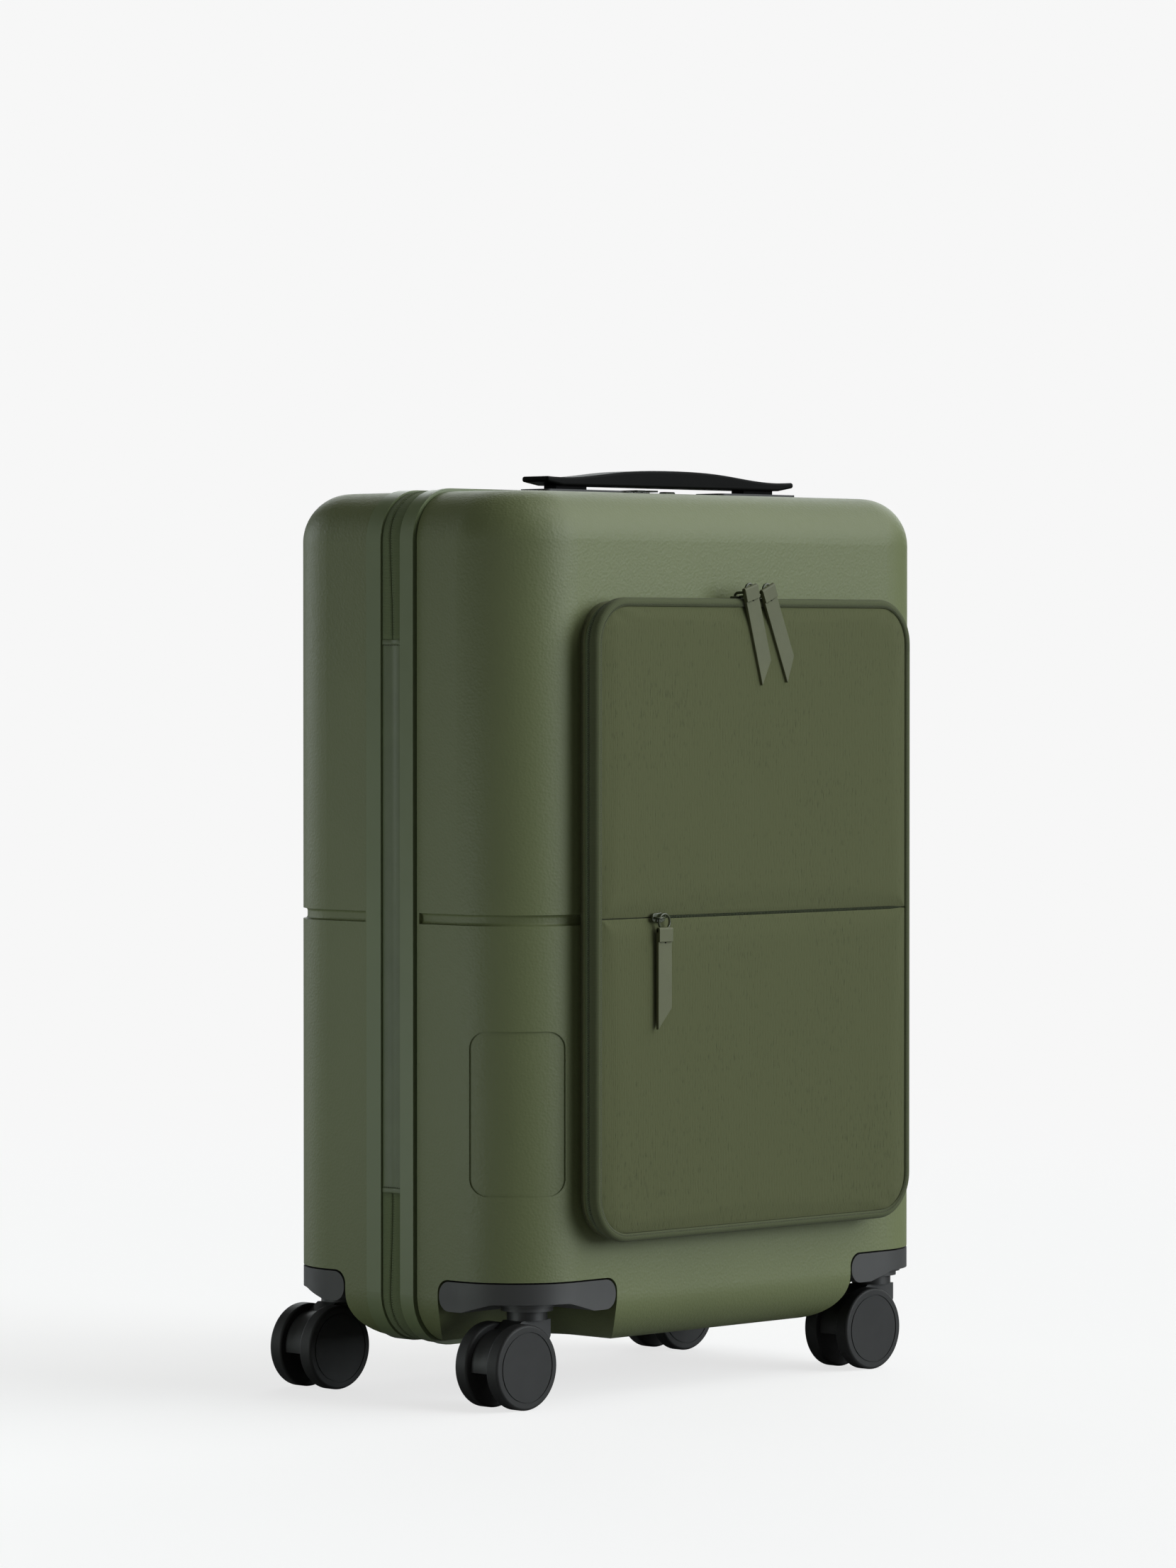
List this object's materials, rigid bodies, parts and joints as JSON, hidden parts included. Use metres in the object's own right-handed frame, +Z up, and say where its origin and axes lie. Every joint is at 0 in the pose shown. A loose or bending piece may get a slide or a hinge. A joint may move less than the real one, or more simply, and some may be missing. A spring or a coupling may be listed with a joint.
{
  "type": "cabin suitcase",
  "caption": "Hard-shell upright cabin case with a zipped soft front sleeve, opening halves, telescopic trolley, lifting top handle, lock and twin-wheel swivel casters.",
  "frame": {"origin": "on the floor under the middle of the whole footprint, sleeve and trailing casters included", "axes": "+Z up; the zipped sleeve faces -Y; the hinge between the halves is on the -X side"},
  "size_m": [0.382, 0.2326, 0.5496],
  "materials": {
    "shell": "satin leather-grain polycarbonate, sage green",
    "rail": "smooth satin moulding, sage green",
    "zip_fabric": "woven zip tape",
    "sleeve_fabric": "ribbed coated twill",
    "lining": "plain woven nylon",
    "black_plastic": "moulded nylon, fine texture",
    "wheel": "matt polyurethane tyre on a plain capped hub",
    "tube": "anodised",
    "steel": "zinc plated",
    "zip_metal": "painted to match the case",
    "pull": "matt moulded strap"
  },
  "bodies": {
    "case_back": {"back_shell": "shell", "back_rail": "rail", "zip_tape_back": "zip_fabric", "hinge_panel": "zip_fabric", "back_lining": "lining", "compression_straps": "lining", "trolley_tray": "black_plastic", "trolley_outer_tubes": "tube", "trolley_feet": "black_plastic", "caster_bl_housing": "black_plastic", "caster_br_housing": "black_plastic", "caster_screws_back": "steel"},
    "trolley_middle": {"trolley_middle_tubes": "tube"},
    "trolley_top": {"trolley_inner_tubes": "tube", "trolley_grip": "black_plastic"},
    "trolley_release": {"trolley_button": "black_plastic"},
    "case_front": {"front_shell": "shell", "front_rail": "rail", "zip_tape_front": "zip_fabric", "front_lining": "lining", "lock_body": "black_plastic", "handle_mounts": "black_plastic", "sleeve_back": "sleeve_fabric", "sleeve_zip_tape": "zip_fabric", "caster_fl_housing": "black_plastic", "caster_fr_housing": "black_plastic", "caster_screws_front": "steel"},
    "top_handle": {"carry_handle": "black_plastic"},
    "lock_release": {"lock_button": "zip_metal"},
    "sleeve_flap": {"flap_rim": "sleeve_fabric", "flap_lining": "sleeve_fabric", "flap_upper_panel": "sleeve_fabric", "flap_pocket_panel": "sleeve_fabric"},
    "lock_wheel_1": {"lock_dial_1": "black_plastic"},
    "lock_wheel_2": {"lock_dial_2": "black_plastic"},
    "lock_wheel_3": {"lock_dial_3": "black_plastic"},
    "case_slider_1": {"main_zip_slider_1": "zip_metal"},
    "case_slider_2": {"main_zip_slider_2": "zip_metal"},
    "sleeve_zip_1": {"sleeve_slider_1": "zip_metal"},
    "sleeve_zip_2": {"sleeve_slider_2": "zip_metal"},
    "sleeve_zip_3": {"sleeve_slider_3": "zip_metal"},
    "sleeve_tab_1": {"sleeve_pull_1": "pull"},
    "sleeve_tab_2": {"sleeve_pull_2": "pull"},
    "sleeve_tab_3": {"sleeve_pull_3": "pull"},
    "swivel_fl": {"caster_fl_fork": "black_plastic", "caster_fl_axle": "steel"},
    "wheel_fl_front": {"caster_fl_wheel_front": "wheel"},
    "wheel_fl_back": {"caster_fl_wheel_back": "wheel"},
    "swivel_fr": {"caster_fr_fork": "black_plastic", "caster_fr_axle": "steel"},
    "wheel_fr_front": {"caster_fr_wheel_front": "wheel"},
    "wheel_fr_back": {"caster_fr_wheel_back": "wheel"},
    "swivel_bl": {"caster_bl_fork": "black_plastic", "caster_bl_axle": "steel"},
    "wheel_bl_front": {"caster_bl_wheel_front": "wheel"},
    "wheel_bl_back": {"caster_bl_wheel_back": "wheel"},
    "swivel_br": {"caster_br_fork": "black_plastic", "caster_br_axle": "steel"},
    "wheel_br_front": {"caster_br_wheel_front": "wheel"},
    "wheel_br_back": {"caster_br_wheel_back": "wheel"}
  },
  "joints": [
    {"name": "trolley_lower_stage", "type": "slide", "parent": "case_back", "child": "trolley_middle", "axis": [0, 0, 1], "range_m": [0, 0.25]},
    {"name": "trolley_upper_stage", "type": "slide", "parent": "trolley_middle", "child": "trolley_top", "axis": [0, 0, 1], "range_m": [0, 0.25]},
    {"name": "trolley_button_press", "type": "slide", "parent": "trolley_top", "child": "trolley_release", "axis": [0, 0, 1], "range_m": [-0.003, 0], "stiffness_N_per_m": 300},
    {"name": "case_opening", "type": "hinge", "parent": "case_back", "child": "case_front", "pos_m": [-0.1844, 0.0115, 0.2845], "axis": [0, 0, -1], "range_deg": [0, 160]},
    {"name": "top_handle_lift", "type": "slide", "parent": "case_front", "child": "top_handle", "axis": [0, 0, 1], "range_m": [0, 0.014], "stiffness_N_per_m": 200, "springref_m": -0.005},
    {"name": "lock_button_press", "type": "slide", "parent": "case_front", "child": "lock_release", "axis": [0, 0, 1], "range_m": [-0.0015, 0], "stiffness_N_per_m": 300},
    {"name": "sleeve_flap_opening", "type": "hinge", "parent": "case_front", "child": "sleeve_flap", "pos_m": [0.0031, -0.1047, 0.096], "axis": [1, 0, 0], "range_deg": [0, 85]},
    {"name": "lock_wheel_1_turn", "type": "hinge", "parent": "case_front", "child": "lock_wheel_1", "pos_m": [-0.0189, -0.0251, 0.5322], "axis": [1, 0, 0], "continuous": true},
    {"name": "lock_wheel_2_turn", "type": "hinge", "parent": "case_front", "child": "lock_wheel_2", "pos_m": [-0.0119, -0.0251, 0.5322], "axis": [1, 0, 0], "continuous": true},
    {"name": "lock_wheel_3_turn", "type": "hinge", "parent": "case_front", "child": "lock_wheel_3", "pos_m": [-0.0049, -0.0251, 0.5322], "axis": [1, 0, 0], "continuous": true},
    {"name": "case_slider_1_run", "type": "slide", "parent": "case_front", "child": "case_slider_1", "axis": [1, 0, 0], "range_m": [-0.14, 0]},
    {"name": "case_slider_2_run", "type": "slide", "parent": "case_front", "child": "case_slider_2", "axis": [1, 0, 0], "range_m": [0, 0.14]},
    {"name": "sleeve_zip_1_run", "type": "slide", "parent": "sleeve_flap", "child": "sleeve_zip_1", "axis": [1, 0, 0], "range_m": [-0.1, 0]},
    {"name": "sleeve_zip_2_run", "type": "slide", "parent": "sleeve_flap", "child": "sleeve_zip_2", "axis": [1, 0, 0], "range_m": [0, 0.1]},
    {"name": "sleeve_zip_3_run", "type": "slide", "parent": "sleeve_flap", "child": "sleeve_zip_3", "axis": [1, 0, 0], "range_m": [0, 0.2]},
    {"name": "sleeve_tab_1_swing", "type": "hinge", "parent": "sleeve_zip_1", "child": "sleeve_tab_1", "pos_m": [-0.0054, -0.1115, 0.476], "axis": [0, 1, 0], "range_deg": [-6, 36]},
    {"name": "sleeve_tab_2_swing", "type": "hinge", "parent": "sleeve_zip_2", "child": "sleeve_tab_2", "pos_m": [0.0101, -0.1115, 0.476], "axis": [0, 1, 0], "range_deg": [-20, 7]},
    {"name": "sleeve_tab_3_swing", "type": "hinge", "parent": "sleeve_zip_3", "child": "sleeve_tab_3", "pos_m": [-0.0819, -0.1115, 0.285], "axis": [0, 1, 0], "range_deg": [-35, 35]},
    {"name": "swivel_fl_turn", "type": "hinge", "parent": "case_front", "child": "swivel_fl", "pos_m": [-0.1485, -0.067, 0.06], "axis": [0, 0, 1], "continuous": true},
    {"name": "wheel_fl_front_roll", "type": "hinge", "parent": "swivel_fl", "child": "wheel_fl_front", "pos_m": [-0.166, -0.07975, 0.025], "axis": [0, 1, 0], "continuous": true},
    {"name": "wheel_fl_back_roll", "type": "hinge", "parent": "swivel_fl", "child": "wheel_fl_back", "pos_m": [-0.166, -0.05425, 0.025], "axis": [0, 1, 0], "continuous": true},
    {"name": "swivel_fr_turn", "type": "hinge", "parent": "case_front", "child": "swivel_fr", "pos_m": [0.1547, -0.067, 0.06], "axis": [0, 0, 1], "continuous": true},
    {"name": "wheel_fr_front_roll", "type": "hinge", "parent": "swivel_fr", "child": "wheel_fr_front", "pos_m": [0.1372, -0.07975, 0.025], "axis": [0, 1, 0], "continuous": true},
    {"name": "wheel_fr_back_roll", "type": "hinge", "parent": "swivel_fr", "child": "wheel_fr_back", "pos_m": [0.1372, -0.05425, 0.025], "axis": [0, 1, 0], "continuous": true},
    {"name": "swivel_bl_turn", "type": "hinge", "parent": "case_back", "child": "swivel_bl", "pos_m": [-0.1485, 0.09, 0.06], "axis": [0, 0, 1], "continuous": true},
    {"name": "wheel_bl_front_roll", "type": "hinge", "parent": "swivel_bl", "child": "wheel_bl_front", "pos_m": [-0.166, 0.07725, 0.025], "axis": [0, 1, 0], "continuous": true},
    {"name": "wheel_bl_back_roll", "type": "hinge", "parent": "swivel_bl", "child": "wheel_bl_back", "pos_m": [-0.166, 0.10275, 0.025], "axis": [0, 1, 0], "continuous": true},
    {"name": "swivel_br_turn", "type": "hinge", "parent": "case_back", "child": "swivel_br", "pos_m": [0.1547, 0.09, 0.06], "axis": [0, 0, 1], "continuous": true},
    {"name": "wheel_br_front_roll", "type": "hinge", "parent": "swivel_br", "child": "wheel_br_front", "pos_m": [0.1372, 0.07725, 0.025], "axis": [0, 1, 0], "continuous": true},
    {"name": "wheel_br_back_roll", "type": "hinge", "parent": "swivel_br", "child": "wheel_br_back", "pos_m": [0.1372, 0.10275, 0.025], "axis": [0, 1, 0], "continuous": true}
  ]
}
